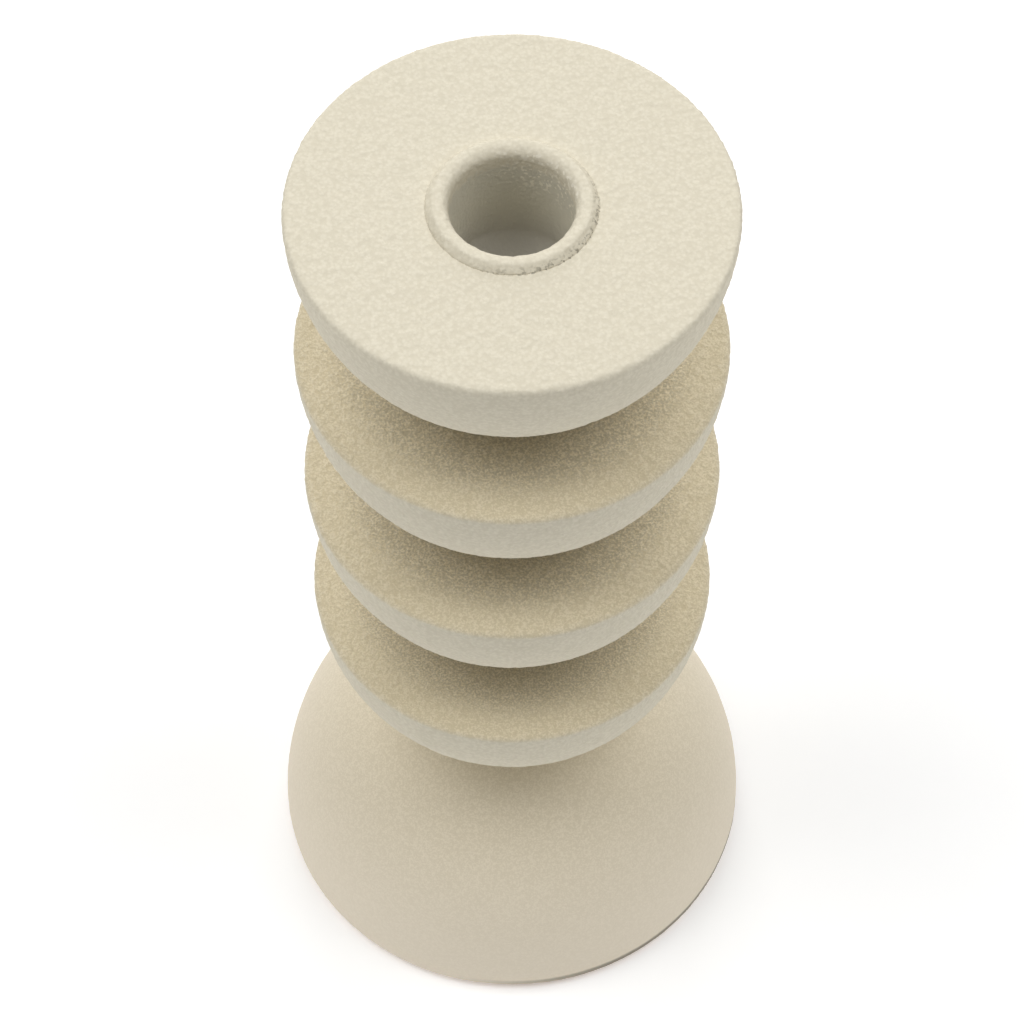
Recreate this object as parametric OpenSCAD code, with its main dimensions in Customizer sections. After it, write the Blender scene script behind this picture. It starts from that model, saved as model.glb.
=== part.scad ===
// Turned wooden candlestick: four half balls, flat side up, stacked on a larger half ball
// that stands flat side down. One threaded rod runs up the middle and clamps the stack
// between two nuts. A pressed steel cup lines the candle hole, and a felt pad covers the foot.
// Millimetres, +Z up. The origin is the centre of the footprint, on the table.

/* [Half balls] */
// Diameter of each stacked half ball
ball_d = 80; // [76:1:100]
// Diameter of the flat land at the pole, where a half ball is glued to the part below
land_d = 20; // [18:1:24]
// Radius of the rounded edge round each flat top
rim_r = 1.2; // [0.5:0.1:2]

/* [Base] */
// Diameter of the base half ball
base_d = 100; // [90:1:130]
// Height of the straight band at the base's lower edge
band_h = 1.2; // [1:0.1:4]
// Radius of the rounding under that band
foot_r = 0.8; // [0.3:0.1:0.9]
// Thickness of the felt pad
pad_t = 1; // [0.8:0.1:3]
// How far the pad stays inside the base's edge
pad_inset = 4; // [2:0.5:8]

/* [Candle cup] */
// Bore of the cup, for a 22 mm candle
cup_bore_d = 22.2; // [21.8:0.1:23]
// Depth of the cup below the flat top
cup_depth = 23; // [18:0.5:23]
// Thickness of the cup's sheet steel
cup_t = 0.8; // [0.5:0.1:1]
// Outside diameter of the cup's rolled rim
cup_rim_d = 30.4; // [29:0.1:34]
// Height of the rolled rim above the flat top
cup_rim_h = 1.4; // [1.1:0.1:1.5]

/* [Tie rod] */
// Diameter of the threaded rod over its crests
rod_d = 5.9; // [5.7:0.1:5.9]
// Diameter of the clearance hole that the rod runs through
rod_hole_d = 7; // [6.5:0.1:8]
// Length of rod that shows past each nut
rod_end = 1.5; // [0.5:0.1:2]

/* [Hidden] */

$fn = 96;
eps = 0.01;                 // how far a cut runs past a face
fit_gap = 0.1;              // gap all round the cup in its socket
tool_gap = 0.5;             // room for a washer at the side of its recess
rod_gap = 0.4;              // room over the rod's top end
foot_gap = 2;               // room between the rod's lower end and the pad

ball_count = 4;
ball_r = ball_d / 2;
land_r = land_d / 2;
base_r = base_d / 2;
cup_bore_r = cup_bore_d / 2;
cup_rim_r = cup_rim_d / 2;
rod_r = rod_d / 2;

// A ball cut off where it is as wide as the land is this tall.
ball_h = sqrt(ball_r * ball_r - land_r * land_r);
dome_h = sqrt(base_r * base_r - land_r * land_r);

foot_z = pad_t;             // underside of the base
dome_z = foot_z + band_h;   // centre of the base's ball
stack_z = dome_z + dome_h;  // land on top of the base
top_z = stack_z + ball_count * ball_h;

// M6 fasteners
nut_flats = 10;
nut_h = 5;
nut_bore_r = 3;
washer_t = 1.6;
washer_bore_r = 3.2;
top_washer_r = 6;
base_washer_r = 9;

// The top half ball: a socket for the cup, and below it a pocket for the washer and nut.
socket_r = cup_bore_r + cup_t + fit_gap;
socket_z = top_z - cup_depth - cup_t - fit_gap;
pocket_r = top_washer_r + tool_gap;
pocket_h = washer_t + nut_h + rod_end + rod_gap;
pocket_z = socket_z - pocket_h;

// The base: a counterbore for the washer and nut, covered by the pad.
counterbore_r = base_washer_r + tool_gap;
counterbore_h = washer_t + nut_h + rod_end + foot_gap;
counterbore_z = foot_z + counterbore_h;

rod_z = counterbore_z - washer_t - nut_h - rod_end;
rod_top_z = pocket_z + washer_t + nut_h + rod_end;

paint = [0.87, 0.84, 0.76];
steel = [0.72, 0.73, 0.75];
felt = [0.35, 0.35, 0.34];

// Half section of a ball of radius r, from its centre's level down to depth h, where it is
// cut off flat. The corner at the flat top is rounded to radius edge.
module half_ball_section(r, h, edge) {
    edge_x = sqrt(pow(r - edge, 2) - edge * edge);
    reach = r / (r - edge);
    difference() {
        intersection() {
            circle(r);
            translate([0, -h]) square([r, h]);
        }
        difference() {
            polygon([[edge_x, -edge], [edge_x, eps], [r + 1, eps],
                     [r + 1, -edge * reach], [edge_x * reach, -edge * reach]]);
            translate([edge_x, -edge]) circle(edge);
        }
    }
}

// A half ball, flat side up, whose land stands at height z, with the rod's hole through it.
module half_ball(z) {
    difference() {
        translate([0, 0, z + ball_h])
            rotate_extrude() half_ball_section(ball_r, ball_h, rim_r);
        translate([0, 0, z - eps])
            cylinder(d = rod_hole_d, h = ball_h + 2 * eps);
    }
}

module stacked_half_ball(level) {
    color(paint) half_ball(stack_z + (level - 1) * ball_h);
}

module top_half_ball() {
    color(paint) difference() {
        half_ball(top_z - ball_h);
        translate([0, 0, socket_z]) cylinder(r = socket_r, h = top_z - socket_z + eps);
        translate([0, 0, pocket_z]) cylinder(r = pocket_r, h = pocket_h + eps);
    }
}

module base_dome() {
    color(paint) difference() {
        union() {
            translate([0, 0, dome_z]) mirror([0, 0, 1])
                rotate_extrude() intersection() {
                    circle(base_r);
                    translate([0, -dome_h]) square([base_r, dome_h]);
                }
            translate([0, 0, foot_z]) foot_band();
        }
        translate([0, 0, foot_z - eps]) cylinder(d = rod_hole_d, h = stack_z);
        translate([0, 0, foot_z - eps]) cylinder(r = counterbore_r, h = counterbore_h + eps);
    }
}

// The straight band at the base's lower edge, rounded where it turns under.
module foot_band() {
    rotate_extrude() {
        translate([0, foot_r]) square([base_r, band_h - foot_r]);
        square([base_r - foot_r, band_h]);
        translate([base_r - foot_r, foot_r]) circle(foot_r);
    }
}

// Section of a rim from radius x1 to x2 and height h, both shoulders rounded to radius h.
module rim_section(x1, x2, h) {
    intersection() {
        union() {
            translate([x1 + h, 0]) circle(h);
            translate([x2 - h, 0]) circle(h);
            translate([x1 + h, 0]) square([x2 - x1 - 2 * h, h]);
        }
        translate([x1, 0]) square([x2 - x1, h]);
    }
}

// Pressed steel cup. Its rim is the sheet rolled outwards and down onto the flat top.
module candle_cup() {
    color(steel) translate([0, 0, top_z]) union() {
        rotate_extrude() difference() {
            rim_section(cup_bore_r, cup_rim_r, cup_rim_h);
            rim_section(cup_bore_r + cup_t, cup_rim_r - cup_t, cup_rim_h - cup_t);
        }
        difference() {
            translate([0, 0, -cup_depth - cup_t])
                cylinder(r = cup_bore_r + cup_t, h = cup_depth + cup_t);
            translate([0, 0, -cup_depth]) cylinder(r = cup_bore_r, h = cup_depth + eps);
        }
    }
}

module tie_rod() {
    end_chamfer = 0.6;
    length = rod_top_z - rod_z;
    color(steel) translate([0, 0, rod_z]) intersection() {
        cylinder(r = rod_r, h = length);
        union() {
            cylinder(r1 = rod_r - end_chamfer, r2 = rod_r, h = end_chamfer);
            translate([0, 0, end_chamfer]) cylinder(r = rod_r, h = length - 2 * end_chamfer);
            translate([0, 0, length - end_chamfer])
                cylinder(r1 = rod_r, r2 = rod_r - end_chamfer, h = end_chamfer);
        }
    }
}

module washer(z, r) {
    color(steel) translate([0, 0, z]) difference() {
        cylinder(r = r, h = washer_t);
        translate([0, 0, -eps]) cylinder(r = washer_bore_r, h = washer_t + 2 * eps);
    }
}

// Hexagon nut with its corners turned off at both faces.
module nut(z) {
    flat_r = nut_flats / 2;
    cone_r = flat_r + nut_h / tan(30);
    color(steel) translate([0, 0, z]) difference() {
        intersection() {
            cylinder(r = flat_r / cos(30), h = nut_h, $fn = 6);
            cylinder(r1 = flat_r, r2 = cone_r, h = nut_h);
            cylinder(r1 = cone_r, r2 = flat_r, h = nut_h);
        }
        translate([0, 0, -eps]) cylinder(r = nut_bore_r, h = nut_h + 2 * eps);
    }
}

module base_pad() {
    color(felt) cylinder(r = base_r - pad_inset, h = pad_t);
}

base_dome();
stacked_half_ball(1);  // half_ball_1
stacked_half_ball(2);  // half_ball_2
stacked_half_ball(3);  // half_ball_3
top_half_ball();
candle_cup();
tie_rod();
washer(pocket_z, top_washer_r);  // top_washer
nut(pocket_z + washer_t);  // top_nut
washer(counterbore_z - washer_t, base_washer_r);  // base_washer
nut(counterbore_z - washer_t - nut_h);  // base_nut
base_pad();
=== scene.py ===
import math

import bpy
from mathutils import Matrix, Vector


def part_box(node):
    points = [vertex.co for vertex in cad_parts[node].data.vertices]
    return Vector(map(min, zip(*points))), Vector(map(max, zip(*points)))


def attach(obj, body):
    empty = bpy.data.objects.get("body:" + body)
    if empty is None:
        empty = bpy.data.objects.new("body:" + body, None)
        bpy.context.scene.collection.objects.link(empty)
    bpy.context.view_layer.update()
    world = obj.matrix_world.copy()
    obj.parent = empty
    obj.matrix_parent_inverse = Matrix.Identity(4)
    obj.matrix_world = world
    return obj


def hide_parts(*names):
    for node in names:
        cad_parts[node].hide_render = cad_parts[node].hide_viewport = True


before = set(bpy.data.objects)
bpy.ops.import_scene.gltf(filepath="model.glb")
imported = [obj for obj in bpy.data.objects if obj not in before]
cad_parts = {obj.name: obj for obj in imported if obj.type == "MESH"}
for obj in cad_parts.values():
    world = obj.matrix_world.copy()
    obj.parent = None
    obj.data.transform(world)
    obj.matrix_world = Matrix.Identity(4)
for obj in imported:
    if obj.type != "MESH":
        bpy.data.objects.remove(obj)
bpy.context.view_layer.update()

MM = 0.001


# ---- Felt pad ------------------------------------------------------------------------------
# A disc die-cut from dark pressed felt, glued under the foot once the stack is bolted up. It
# covers the counterbore, keeps bare wood off the table and stops short of the base's edge.

pad_low, pad_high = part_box("base_pad")
pad_r = pad_high.x
pad_t = pad_high.z - pad_low.z
pad_edge = 0.2 * MM
round_sides = 180
same_place = 0.02 * MM


def take(piece):
    """Leaves only this piece selected and active, in object mode."""
    if bpy.context.mode != "OBJECT":
        bpy.ops.object.mode_set(mode="OBJECT")
    bpy.ops.object.select_all(action="DESELECT")
    bpy.context.view_layer.objects.active = piece
    if piece:
        piece.select_set(True)


def pick(piece, faces=None, edges=None):
    """Selects the faces or the edges that suit the test given, and goes into edit mode."""
    take(piece)
    mesh = piece.data
    for part in (mesh.vertices, mesh.edges, mesh.polygons):
        part.foreach_set("select", [False] * len(part))
    if faces:
        mesh.polygons.foreach_set("select", [bool(faces(face)) for face in mesh.polygons])
    if edges:
        ends = [[mesh.vertices[i].co for i in edge.vertices] for edge in mesh.edges]
        mesh.edges.foreach_set("select", [edges(a) and edges(b) for a, b in ends])
    bpy.ops.object.mode_set(mode="EDIT")
    bpy.ops.mesh.select_mode(type="FACE" if faces else "EDGE")


def near(a, b):
    return abs(a - b) < same_place


def apply_place(piece):
    """Puts the piece's place into its mesh, so that the object itself sits at the origin."""
    take(piece)
    bpy.ops.object.transform_apply(location=True, rotation=True, scale=True)


def apply_modifier(piece, kind, **settings):
    take(piece)
    modifier = piece.modifiers.new(kind.lower(), kind)
    for name, value in settings.items():
        setattr(modifier, name, value)
    bpy.ops.object.modifier_apply(modifier=modifier.name)


class Wire:
    """One socket in a material. A sum written with wires adds the Math nodes that do it."""

    def __init__(self, tree, socket=None):
        self.tree = tree
        self.socket = socket

    def node(self, kind, settings=None, values=None, out=0):
        """Adds a node, makes its settings, fills or links its sockets, and gives one output."""
        made = self.tree.nodes.new(kind)
        for name, value in (settings or {}).items():
            setattr(made, name, value)
        for name, value in (values or {}).items():
            if isinstance(value, Wire):
                self.tree.links.new(value.socket, made.inputs[name])
            else:
                made.inputs[name].default_value = value
        return Wire(self.tree, made.outputs[out])

    def maths(self, operation, a, b=0.0):
        return self.node("ShaderNodeMath", {"operation": operation}, {0: a, 1: b})

    def __add__(self, other):
        return self.maths("ADD", self, other)

    __radd__ = __add__

    def __sub__(self, other):
        return self.maths("SUBTRACT", self, other)

    def __rsub__(self, other):
        return self.maths("SUBTRACT", other, self)

    def __mul__(self, other):
        return self.maths("MULTIPLY", self, other)

    __rmul__ = __mul__

    def above(self, start, end):
        """Rises smoothly from 0 at start to 1 at end."""
        span = {"Value": self, "From Min": start, "From Max": end}
        return self.node("ShaderNodeMapRange", {"interpolation_type": "SMOOTHSTEP"}, span)

    def mix(self, a, b):
        """The colour a where this wire is 0, and b where it is 1."""
        return self.node("ShaderNodeMix", {"data_type": "RGBA"}, {0: self, 6: a, 7: b}, out=2)

    def noise(self, place, size, detail=1.0, roughness=0.5):
        """Soft random values round 0.5, whose spots are about as large as size."""
        values = {"Vector": place, "Scale": 1 / size, "Detail": detail, "Roughness": roughness}
        return self.node("ShaderNodeTexNoise", None, values)

    def into(self, shader, name):
        self.tree.links.new(self.socket, shader.inputs[name])


def new_finish(name, **constants):
    """A material, its shader with the given constants set, a first wire and Object coordinates."""
    finish = bpy.data.materials.new(name)
    finish.use_nodes = True
    shader = finish.node_tree.nodes["Principled BSDF"]
    for socket, value in constants.items():
        shader.inputs[socket.replace("_", " ")].default_value = value
    wire = Wire(finish.node_tree)
    return finish, shader, wire, wire.node("ShaderNodeTexCoord", out="Object")


def pressed_felt():
    """Dark wool fibres lying every way in one plane, which leave a matt, slightly hairy face."""
    finish, shader, wire, place = new_finish("pressed felt", Roughness=0.95, Sheen_Weight=0.3)
    fibre_w, fibre_stretch, clump_size = 0.25 * MM, 5.5, 3 * MM
    fibres = 0.0
    for turn in (0.3, 1.5, 2.6):
        settings = {"vector_type": "TEXTURE"}
        values = {"Vector": place, "Rotation": (0, 0, turn), "Scale": (fibre_stretch, 1, 1)}
        lie = wire.node("ShaderNodeMapping", settings, values)
        fibres = wire.noise(lie, fibre_w, detail=2.0) * 0.33 + fibres
    clumps = wire.noise(place, clump_size, detail=2.0)
    shade = fibres * 0.7 + clumps * 0.3
    dark, light = (0.012, 0.011, 0.010, 1), (0.045, 0.041, 0.037, 1)
    shade.above(0.38, 0.62).mix(dark, light).into(shader, "Base Color")
    nap = {"Height": fibres, "Distance": 0.2 * MM, "Strength": 0.8}
    wire.node("ShaderNodeBump", None, nap).into(shader, "Normal")
    return finish


take(None)
bpy.ops.mesh.primitive_cylinder_add(
    vertices=round_sides, radius=pad_r, depth=pad_t, location=(0, 0, pad_low.z + pad_t / 2))
felt_pad = bpy.context.object
felt_pad.name = "felt_pad"
apply_place(felt_pad)
pick(felt_pad, edges=lambda co: math.hypot(co.x, co.y) > pad_r - pad_edge)
bpy.ops.mesh.bevel(offset=pad_edge, segments=3)
take(felt_pad)
bpy.ops.object.shade_smooth_by_angle(angle=math.radians(40))
felt_pad.data.materials.append(pressed_felt())
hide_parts("base_pad")
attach(felt_pad, "root")


# ---- Base ----------------------------------------------------------------------------------
# A block of beech turned to half a ball, counterbored from below for the washer and nut and
# drilled through for the rod. It is sprayed with cream sand paint after the stack is clamped,
# so the faces that are hidden by then stay bare.

rod_hole_r = 3.5 * MM
land_r = 10 * MM
tool_gap = 0.5 * MM
ball_sides = 240
base_low, base_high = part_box("base_dome")
base_r = base_high.x
washer_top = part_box("base_washer")[1].z
counterbore_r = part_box("base_washer")[1].x + tool_gap
foot_edge = 0.8 * MM
band_h = base_high.z - base_low.z - math.sqrt(base_r ** 2 - land_r ** 2)
base_voxel = 0.6 * MM


def half_a_ball(name, radius, centre_z, up):
    """Half a ball cut flat through its centre. up is 1 if it domes upwards, and -1 downwards."""
    take(None)
    bpy.ops.mesh.primitive_uv_sphere_add(
        segments=ball_sides, ring_count=ball_sides // 2, radius=radius,
        location=(0, 0, centre_z))
    piece = bpy.context.object
    piece.name = name
    apply_place(piece)
    land_z = centre_z + up * math.sqrt(radius ** 2 - land_r ** 2)
    for height, side in ((centre_z, -up), (land_z, up)):
        take(piece)
        bpy.ops.object.mode_set(mode="EDIT")
        bpy.ops.mesh.select_all(action="SELECT")
        bpy.ops.mesh.bisect(plane_co=(0, 0, height), plane_no=(0, 0, side),
                            use_fill=True, clear_outer=True, threshold=0.001 * MM)
    return piece


def sink(piece, height, facing, steps):
    """Steps a hole into the flat face at this height. A step is a radius and how deep it goes."""
    def is_flat(face):
        return near(face.center.z, height) and face.normal.z * facing > 0.9

    take(piece)
    flat = max((f for f in piece.data.polygons if is_flat(f)), key=lambda f: f.area)
    corner = piece.data.vertices[flat.vertices[0]].co
    across = math.hypot(corner.x, corner.y)
    index = flat.index
    pick(piece, faces=lambda face: face.index == index)
    for radius, depth in steps:
        bpy.ops.mesh.inset(thickness=across - radius)
        across = radius
        if depth:
            push = {"value": (0, 0, -facing * depth)}
            bpy.ops.mesh.extrude_region_move(TRANSFORM_OT_translate=push)


def drill_through(piece):
    """Opens the two small end faces that sink has left, and joins them with the hole's wall."""
    def by_hole(co):
        return math.hypot(co.x, co.y) < rod_hole_r * 1.05

    def is_end(face):
        whole = len(face.vertices) > ball_sides / 2
        return whole and by_hole(piece.data.vertices[face.vertices[0]].co)

    pick(piece, faces=is_end)
    bpy.ops.mesh.delete(type="ONLY_FACE")
    pick(piece, edges=by_hole)
    bpy.ops.mesh.bridge_edge_loops()
    bpy.ops.mesh.select_all(action="SELECT")
    bpy.ops.mesh.normals_make_consistent(inside=False)


sand_lumps = bpy.data.textures.new("sand lumps", "CLOUDS")
sand_lumps.noise_scale = 1.1 * MM
sand_lumps.noise_depth = 1
sanding_waves = bpy.data.textures.new("sanding waves", "CLOUDS")
sanding_waves.noise_scale = 9 * MM
wave_depth = 0.12 * MM


def coat_relief(piece, painted, lump_depth):
    """Raises the sand in the paint, and the shallow waves left by sanding, on painted faces."""
    coat = piece.vertex_groups.new(name="coat")
    coat.add([v.index for v in piece.data.vertices if painted(v.co)], 1, "REPLACE")
    for texture, depth in ((sanding_waves, wave_depth), (sand_lumps, lump_depth)):
        apply_modifier(piece, "DISPLACE", texture=texture, texture_coords="LOCAL",
                       strength=depth, mid_level=0.5, vertex_group="coat")
    piece.vertex_groups.clear()


# Each coat is two colours: one for the hollows between the grains, and one for the grains.
cream = (0.685, 0.632, 0.502, 1), (0.755, 0.702, 0.568, 1)
# The base's coat is a lighter copy of the cream: painted light for the extra light on the base.
lit_base_coat = (0.862, 0.778, 0.640, 1), (0.880, 0.796, 0.658, 1)
# The warm coat is painted warm shade, with darker hollows and lighter grains as painted shade and
# light on the relief.
warm_shade_coat = (0.669, 0.585, 0.408, 1), (0.790, 0.705, 0.524, 1)
# The dark colour of the painted shadow and shade marks, and of the real grime at the cup's joint.
shade_and_grime = (0.23, 0.21, 0.16, 1)


def sand_paint(wire, place, coat=cream, warm_shade=None):
    """Colour, roughness and height of the cream paint with fine sand stirred into it.
    Where the warm shade mask is 1, the colour is painted warm shade, with painted light and shade
    on the grains."""
    lump_size, grain_size, dust_size = 1.0 * MM, 0.75 * MM, 0.35 * MM
    lumps = wire.noise(place, lump_size, detail=1.0)
    cells = {"Vector": place, "Scale": 1 / grain_size, "Smoothness": 0.4}
    grains = 1 - wire.node("ShaderNodeTexVoronoi", {"feature": "SMOOTH_F1"}, cells)
    dust = wire.noise(place, dust_size, detail=1.0)
    height = lumps * 0.4 + grains * 0.35 + dust * 0.25
    colour = height.above(0.38, 0.68).mix(*coat)
    if warm_shade:
        colour = warm_shade.mix(colour, (height + dust).above(0.84, 1.24).mix(*warm_shade_coat))
    return colour, 0.95 - 0.12 * grains, height


def radius_and_level(wire, place):
    """How far each point is from the stick's axis, and how high it is."""
    flat = wire.node("ShaderNodeVectorMath", {"operation": "MULTIPLY"}, {0: place, 1: (1, 1, 0)})
    radius = wire.node("ShaderNodeVectorMath", {"operation": "LENGTH"}, {0: flat}, out=1)
    return radius, wire.node("ShaderNodeSeparateXYZ", None, {0: place}, out="Z")


def towards(wire, place, x, y):
    """How far out each point lies towards x, y."""
    along = {0: place, 1: (x, y, 0)}
    return wire.node("ShaderNodeVectorMath", {"operation": "DOT_PRODUCT"}, along, out=1)


def off_land(radius):
    """0 on the land and in the rod's hole, and 1 outside them."""
    return radius.above(land_r - 0.2 * MM, land_r)


def coated_beech(name, bare, warm_shade=None, shade_and_grime_marks=None, coat=cream, sand_height=0.16 * MM):
    """Sand paint over turned beech. Its three masks give the faces that were never sprayed, the
    painted warm shade, and the painted shade and grime laid over the paint."""
    finish, shader, wire, place = new_finish(name, Specular_IOR_Level=0.3)
    radius, level = radius_and_level(wire, place)
    wood_mask = bare(radius, level)
    warm_shade_mask = warm_shade(radius, level) if warm_shade else None
    colour, roughness, height = sand_paint(wire, place, coat, warm_shade_mask)
    if shade_and_grime_marks:
        colour = shade_and_grime_marks(wire, place, radius, level).mix(colour, shade_and_grime)
    stretch = {"Vector": place, "Scale": (1, 1, 0.06)}
    pore_size, ring_size = 0.6 * MM, 5 * MM
    fibres = wire.noise(wire.node("ShaderNodeMapping", None, stretch), pore_size, detail=3.0)
    rings = wire.noise(wire.node("ShaderNodeMapping", None, stretch), ring_size, detail=1.0)
    grain = fibres * 0.6 + rings * 0.4
    late_wood, early_wood = (0.50, 0.31, 0.165, 1), (0.66, 0.45, 0.27, 1)
    beech = grain.above(0.36, 0.64).mix(late_wood, early_wood)
    wood_mask.mix(colour, beech).into(shader, "Base Color")
    (roughness - wood_mask * 0.35).into(shader, "Roughness")
    rise = height * (1 - wood_mask) + fibres * wood_mask * 0.3
    relief = {"Height": rise, "Distance": sand_height, "Strength": 1.0}
    wire.node("ShaderNodeBump", None, relief).into(shader, "Normal")
    return finish


turned_base = half_a_ball("turned_base", base_r, base_low.z + band_h, up=1)
pick(turned_base, faces=lambda face: near(face.center.z, base_low.z + band_h))
bpy.ops.mesh.extrude_region_move(TRANSFORM_OT_translate={"value": (0, 0, -band_h)})
bpy.ops.mesh.region_to_loop()
bpy.ops.mesh.bevel(offset=foot_edge, segments=4)
sink(turned_base, base_low.z, -1, [(counterbore_r, washer_top - base_low.z), (rod_hole_r, 0)])
sink(turned_base, base_high.z, 1, [(rod_hole_r, 0)])
drill_through(turned_base)
apply_modifier(turned_base, "REMESH", mode="VOXEL", voxel_size=base_voxel,
               use_smooth_shade=True)


def painted_foot_shadow(wire, place, radius, level):
    """Painted shadow: a grey line round the lowest edge, on the front and the right."""
    foot_shadow_strength = 0.85
    low = 1 - level.above(base_low.z + 1.4 * band_h, base_low.z + 2.4 * band_h)
    return low * towards(wire, place, 0.87, -0.5).above(10 * MM, 45 * MM) * foot_shadow_strength


coat_relief(turned_base, lump_depth=0.08 * MM, painted=lambda co:
            co.z > base_low.z + 0.4 * MM and math.hypot(co.x, co.y) > land_r)
turned_base.data.materials.clear()
turned_base.data.materials.append(coated_beech(
    "coated beech, base", coat=lit_base_coat, sand_height=0.07 * MM, shade_and_grime_marks=painted_foot_shadow,
    bare=lambda radius, level: 1 - off_land(radius) * level.above(
        base_low.z, base_low.z + foot_edge / 2),
    # Painted warm shade, growing towards the top of the dome, under the stack.
    warm_shade=lambda radius, level: 0.1 + 0.6 * level.above(base_low.z, base_high.z)))
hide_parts("base_dome")
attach(turned_base, "root")


# ---- Tie rod, washers and nuts -------------------------------------------------------------
# M6 studding with a nut and a washer at each end pulls the turned pieces together. It is all
# bright zinc-plated steel, shut in between the pad and the candle cup.

thread_pitch = 1 * MM
thread_depth = 0.5 * MM


def zinc_plate(name, thread=0.0):
    """Bright zinc plating, faintly clouded. thread is how deep a thread is cut round it."""
    finish, shader, wire, place = new_finish(name, Metallic=1.0)
    clouds = wire.noise(place, 1.5 * MM, detail=3.0)
    dull, bright = (0.52, 0.54, 0.57, 1), (0.70, 0.71, 0.73, 1)
    clouds.above(0.3, 0.7).mix(dull, bright).into(shader, "Base Color")
    (0.28 + clouds * 0.2).into(shader, "Roughness")
    rise = wire.noise(place, 0.15 * MM, detail=2.0) * 0.01 * MM
    if thread:
        x, y, z = (wire.node("ShaderNodeSeparateXYZ", None, {0: place}, out=i) for i in range(3))
        turns = wire.maths("ARCTAN2", y, x) * (0.5 / math.pi)
        rise = rise + wire.maths("PINGPONG", z * (1 / thread_pitch) - turns, 0.5) * (2 * thread)
    wire.node("ShaderNodeBump", None, {"Height": rise, "Distance": 1.0}).into(shader, "Normal")
    return finish


plating = zinc_plate("zinc plate")
for fastener in ("base_washer", "base_nut", "top_washer", "top_nut"):
    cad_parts[fastener].data.materials.clear()
    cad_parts[fastener].data.materials.append(plating)
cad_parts["tie_rod"].data.materials.clear()
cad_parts["tie_rod"].data.materials.append(zinc_plate("threaded zinc plate", thread_depth))


# ---- Three plain half balls ----------------------------------------------------------------
# Each is turned from beech like the base, but stands on its pole, flat side up, on the flat
# of the piece below. The edge round the flat is eased before painting.

ball_low, ball_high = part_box("half_ball_1")
ball_r = ball_high.x
ball_h = ball_high.z - ball_low.z
rim_edge = 0.9 * MM
ball_voxel = 0.5 * MM
# The painted shade on each plain flat is full inside the first radius and gone past the second.
full_shade_r, no_shade_r = 29 * MM, 36.5 * MM


def turned_half_ball(name, flat_z, steps):
    """A half ball, flat side up, with a stepped hole from its flat down to its land."""
    piece = half_a_ball(name, ball_r, flat_z, up=-1)
    pick(piece, faces=lambda face: near(face.center.z, flat_z) and face.normal.z > 0.9)
    bpy.ops.mesh.region_to_loop()
    bpy.ops.mesh.bevel(offset=rim_edge, segments=8)
    sink(piece, flat_z, 1, steps)
    sink(piece, flat_z - ball_h, -1, [(rod_hole_r, 0)])
    drill_through(piece)
    apply_modifier(piece, "REMESH", mode="VOXEL", voxel_size=ball_voxel, use_smooth_shade=True)
    piece.data.materials.clear()
    return piece


half_ball_1 = turned_half_ball("first_half_ball", ball_high.z, [(rod_hole_r, 0)])
half_balls = [half_ball_1]
for number, name in ((2, "second_half_ball"), (3, "third_half_ball")):
    copy = half_ball_1.copy()
    copy.data = half_ball_1.data.copy()
    copy.name = name
    bpy.context.collection.objects.link(copy)
    copy.location.z = (number - 1) * ball_h
    apply_place(copy)
    half_balls.append(copy)
for number, piece in enumerate(half_balls, start=1):
    coat_relief(piece, lump_depth=0.3 * MM, painted=lambda co: math.hypot(co.x, co.y) > land_r)
    flat_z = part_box(f"half_ball_{number}")[1].z

    def on_flat(level):
        return level.above(flat_z - 1.2 * MM, flat_z - 0.2 * MM)

    def painted_flat_shade(wire, place, radius, level):
        """Painted shade, speckled in the hollows, on the sheltered part of the flat under the half
        ball above.
        """
        hollow_w, flat_shade_strength = 0.42 * MM, 0.36
        hollows = wire.noise(place, hollow_w, detail=1.0).above(0.38, 0.6)
        return (1 - radius.above(full_shade_r, no_shade_r)) * on_flat(level) * hollows * flat_shade_strength

    piece.data.materials.append(coated_beech(
        f"coated beech, {piece.name}", sand_height=0.34 * MM, shade_and_grime_marks=painted_flat_shade,
        bare=lambda radius, level: 1 - off_land(radius),
        # Painted warm shade on the flat, under the half ball above.
        warm_shade=lambda radius, level: on_flat(level)))
    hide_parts(f"half_ball_{number}")
    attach(piece, "root")


# ---- Top half ball -------------------------------------------------------------------------
# The same turned half ball, bored out for the candle cup. Below that socket a smaller pocket
# takes the rod's top nut and washer, and the cup then shuts them in.

top_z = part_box("top_half_ball")[1].z
cup_low, cup_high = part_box("candle_cup")
rim_r = cup_high.x
socket_r = 12 * MM
under_rim_r = socket_r + 1 * MM
fit_gap = 0.1 * MM
socket_depth = top_z - cup_low.z + fit_gap
pocket_r = 6.5 * MM
pocket_depth = cup_low.z - fit_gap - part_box("top_washer")[0].z


def joint_grime(wire, place, radius, level):
    """Dust and pinholes along the joint of the cup's rim, mostly on the front and the right."""
    grimy = 0.75
    joint = radius.above(rim_r - 1.3 * MM, rim_r - 0.2 * MM) * (
        1 - radius.above(rim_r, rim_r + 0.25 * MM))
    pits = wire.noise(place, 0.65 * MM, detail=1.0).above(0.5, 0.68)
    on_top = level.above(top_z - 0.6 * MM, top_z - 0.5 * MM)
    front_right = towards(wire, place, 0.8, -0.6).above(0, 15 * MM)
    return joint * pits * on_top * front_right * grimy


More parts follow.
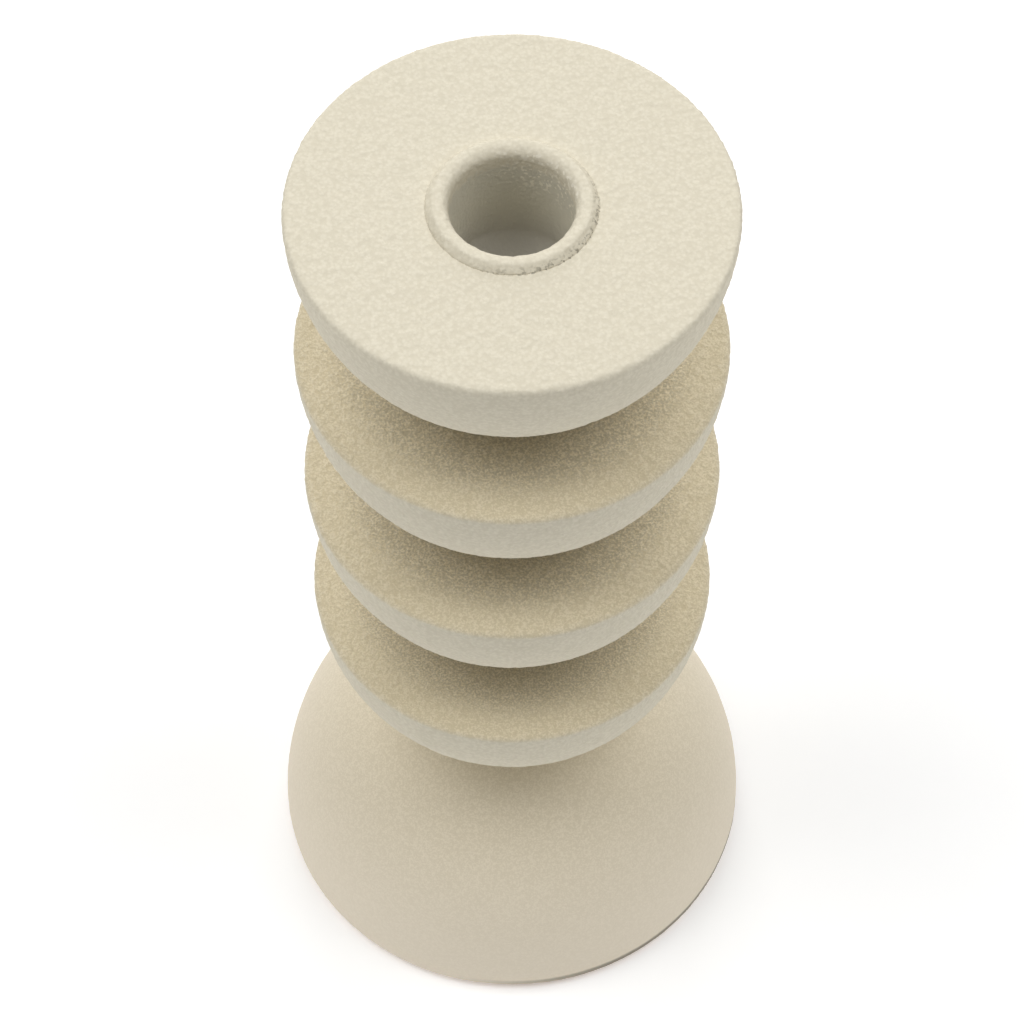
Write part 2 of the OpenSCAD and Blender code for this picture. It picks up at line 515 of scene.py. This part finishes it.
top_half_ball = turned_half_ball("bored_half_ball", top_z, [
    (socket_r, socket_depth), (pocket_r, pocket_depth), (rod_hole_r, 0)])
coat_relief(top_half_ball, lump_depth=0.3 * MM, painted=lambda co: (
    math.hypot(co.x, co.y) > (land_r if co.z < top_z - socket_depth else under_rim_r)))
top_half_ball.data.materials.append(coated_beech(
    "coated beech, bored", shade_and_grime_marks=joint_grime, bare=lambda radius, level: (
        1 - off_land(radius) * (
            1 - (1 - radius.above(under_rim_r, under_rim_r + 0.2 * MM))
            * level.above(top_z - socket_depth - 0.3 * MM, top_z - socket_depth)))))
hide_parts("top_half_ball")
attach(top_half_ball, "root")


# ---- Candle cup ----------------------------------------------------------------------------
# Pressed from thin sheet steel: a flat-bottomed tube for the candle's foot, with its mouth
# rolled outwards and down onto the wood. It is sprayed in place, so only what shows is coated.

cup_t = 0.8 * MM
cup_bore_r = socket_r - fit_gap - cup_t
rim_h = cup_high.z - top_z
cup_floor = cup_low.z + cup_t
mouth_edge = 2 * MM
rim_outer_edge = 1.35 * MM
rim_sunk = 0.25 * MM
press_edge = 3 * MM
cup_voxel = 0.34 * MM


def coated_steel():
    """Sand paint on the rim, thinning to grey primer down the bore, where painted shade darkens
    the primer towards the floor, and bare plated steel on the hidden outside."""
    finish, shader, wire, place = new_finish("coated steel", Specular_IOR_Level=0.3)
    colour, roughness, height = sand_paint(wire, place)
    radius, level = radius_and_level(wire, place)
    outside = radius.above(cup_bore_r + 0.4 * MM, cup_bore_r + 0.5 * MM)
    under = 1 - level.above(top_z - 0.2 * MM, top_z - 0.1 * MM)
    below = 1 - level.above(cup_low.z + 0.3 * MM, cup_low.z + 0.4 * MM)
    steel = wire.maths("MAXIMUM", outside * under, below)
    # Painted shade: the primer darkens towards the cup's floor.
    wall = level.above(cup_floor, cup_floor + 12 * MM)
    shaded_primer, lit_primer = (0.54, 0.515, 0.455, 1), (0.62, 0.59, 0.49, 1)
    pale_grit, bare_steel = (0.84, 0.79, 0.66, 1), (0.62, 0.63, 0.65, 1)
    depth = 1 - level.above(top_z - 5 * MM, top_z - 0.2 * MM)
    primer = (depth + height * 1.2 - 0.6).above(0.2, 0.8)
    in_bore = 1 - radius.above(cup_bore_r + 0.3 * MM, cup_bore_r + 0.9 * MM)
    back_right = towards(wire, place, 0.75, 0.66).above(2 * MM, 10 * MM)
    grit = wire.noise(place, 0.8 * MM, detail=1.0).above(0.57, 0.63) * level.above(
        top_z - 12 * MM, top_z - 3 * MM) * back_right * in_bore
    colour = primer.mix(colour, wall.mix(shaded_primer, lit_primer))
    colour = grit.mix(colour, pale_grit)
    colour = joint_grime(wire, place, radius, level).mix(colour, shade_and_grime)
    steel.mix(colour, bare_steel).into(shader, "Base Color")
    (roughness - steel * 0.55).into(shader, "Roughness")
    steel.into(shader, "Metallic")
    relief = {"Height": height * (1 - steel), "Distance": 0.16 * MM, "Strength": 1.0}
    wire.node("ShaderNodeBump", None, relief).into(shader, "Normal")
    return finish


take(None)
bpy.ops.mesh.primitive_cylinder_add(
    vertices=round_sides, radius=rim_r, depth=rim_h + rim_sunk,
    location=(0, 0, top_z + (rim_h - rim_sunk) / 2))
candle_cup = bpy.context.object
candle_cup.name = "pressed_candle_cup"
apply_place(candle_cup)
sink(candle_cup, cup_high.z, 1, [(cup_bore_r, cup_high.z - cup_floor)])
sink(candle_cup, top_z - rim_sunk, -1, [
    (rim_r - cup_t, rim_h + rim_sunk - cup_t),
    (cup_bore_r + cup_t, cup_low.z - top_z - rim_h + cup_t)])
for radius, height, width, curve in (
        (cup_bore_r, cup_high.z, mouth_edge, 0.5), (rim_r, cup_high.z, rim_outer_edge, 0.27),
        (cup_bore_r, cup_floor, press_edge, 0.5),
        (cup_bore_r + cup_t, cup_low.z, press_edge, 0.5)):
    pick(candle_cup, edges=lambda co: near(co.z, height) and near(math.hypot(co.x, co.y), radius))
    bpy.ops.mesh.bevel(offset=width, segments=10, profile=curve)
apply_modifier(candle_cup, "REMESH", mode="VOXEL", voxel_size=cup_voxel, use_smooth_shade=True)
coat_relief(candle_cup, lump_depth=0.25 * MM, painted=lambda co: co.z > top_z - 1 * MM and (
    co.z > top_z + 0.2 * MM or math.hypot(co.x, co.y) < cup_bore_r + 0.2 * MM))
candle_cup.data.materials.clear()
candle_cup.data.materials.append(coated_steel())
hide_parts("candle_cup")
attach(candle_cup, "root")


# ---- Studio --------------------------------------------------------------------------------
# A white table lit by two soft boxes, high up on the left and the right, and by a low one
# behind. The paper glows a little, so that it stays white close to the base.

take(None)
bpy.ops.mesh.primitive_circle_add(vertices=96, radius=6, fill_type="NGON")
table = bpy.context.object
table.name = "table"
paper, paper_shader, wire, place = new_finish(
    "white paper", Roughness=0.9, Emission_Color=(1, 1, 1, 1), Emission_Strength=0.3)
paper_tones = (0.83, 0.83, 0.83, 1), (0.85, 0.85, 0.85, 1)
wire.noise(place, 0.3, detail=1.0).mix(*paper_tones).into(paper_shader, "Base Color")
table.data.materials.append(paper)

light_away = 1.5
light_size = 0.9
for name, energy, lift, side in (
        ("left soft box", 10.3, 60, (-1, 0)), ("right soft box", 8.7, 60, (1, 0)),
        ("low soft box", 8.7, 22, (0, 1))):
    soft_box = bpy.data.lights.new(name, "AREA")
    soft_box.shape = "SQUARE"
    soft_box.size = light_size
    soft_box.energy = energy
    out, up = math.cos(math.radians(lift)), math.sin(math.radians(lift))
    aim = Vector((out * side[0], out * side[1], up))
    hung = bpy.data.objects.new(name, soft_box)
    hung.location = aim * light_away + Vector((0, 0, top_z / 2))
    hung.rotation_euler = aim.to_track_quat("Z", "Y").to_euler()
    hung.visible_camera = False
    bpy.context.collection.objects.link(hung)

sky = bpy.data.worlds.new("studio")
sky.use_nodes = True
sky.node_tree.nodes["Background"].inputs["Color"].default_value = (1, 1, 1, 1)
sky.node_tree.nodes["Background"].inputs["Strength"].default_value = 0.25
bpy.context.scene.world = sky
bpy.context.scene.view_settings.view_transform = "Standard"

camera_back, camera_over_top, look_down = 0.36731, 0.45681, 56.385
camera = bpy.data.cameras.new("camera")
camera.lens = 118.52
stand = bpy.data.objects.new("camera", camera)
stand.location = (0, -camera_back, top_z + camera_over_top)
stand.rotation_euler = (math.radians(90 - look_down), 0, 0)
bpy.context.collection.objects.link(stand)
bpy.context.scene.camera = stand
